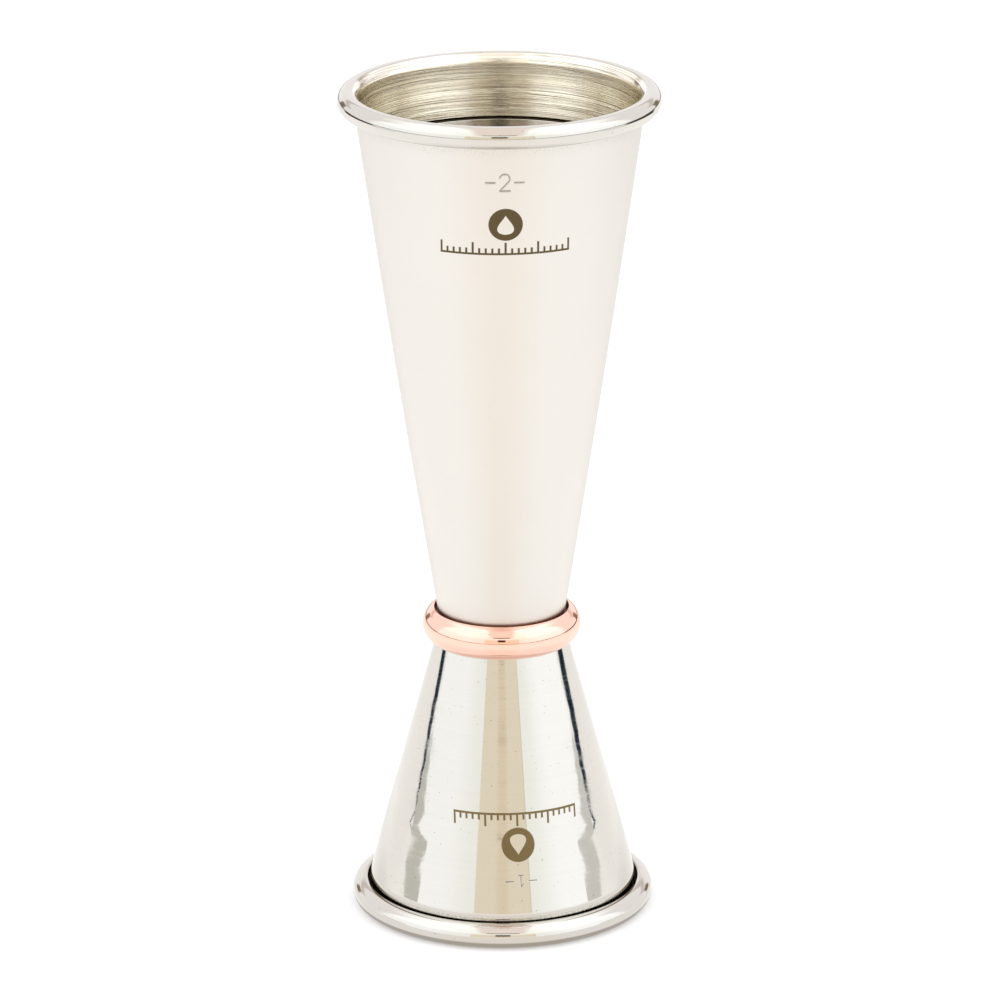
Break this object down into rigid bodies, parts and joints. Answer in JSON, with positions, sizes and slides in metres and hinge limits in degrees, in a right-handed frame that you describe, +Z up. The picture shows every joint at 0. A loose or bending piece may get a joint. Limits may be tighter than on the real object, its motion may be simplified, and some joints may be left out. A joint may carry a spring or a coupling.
{
  "type": "bar jigger",
  "caption": "Double-ended bar jigger: a tall cone cup above a short one, floor to floor, with rolled rims and a copper-toned ring round the waist.",
  "frame": {"origin": "on the axis, in the plane of the lower rim's flat land, which the jigger stands on", "axes": "+Z up along the axis, from the small cup's mouth to the large cup's mouth; -Y is the front, where the capacity stamps are"},
  "size_m": [0.0478, 0.0478, 0.127],
  "materials": {
    "satin_steel": "fine satin outside, turned brush lines inside, polished rim",
    "polished_steel": "mirror polished stainless steel",
    "copper_plate": "polished rose copper plating",
    "weld_metal": "raw weld",
    "bond": "cured metal-filled adhesive"
  },
  "bodies": {
    "root": {"large_cup": "satin_steel", "small_cup": "polished_steel", "waist_ring": "copper_plate", "weld_nuggets": "weld_metal", "ring_bond": "bond"}
  },
  "joints": []
}
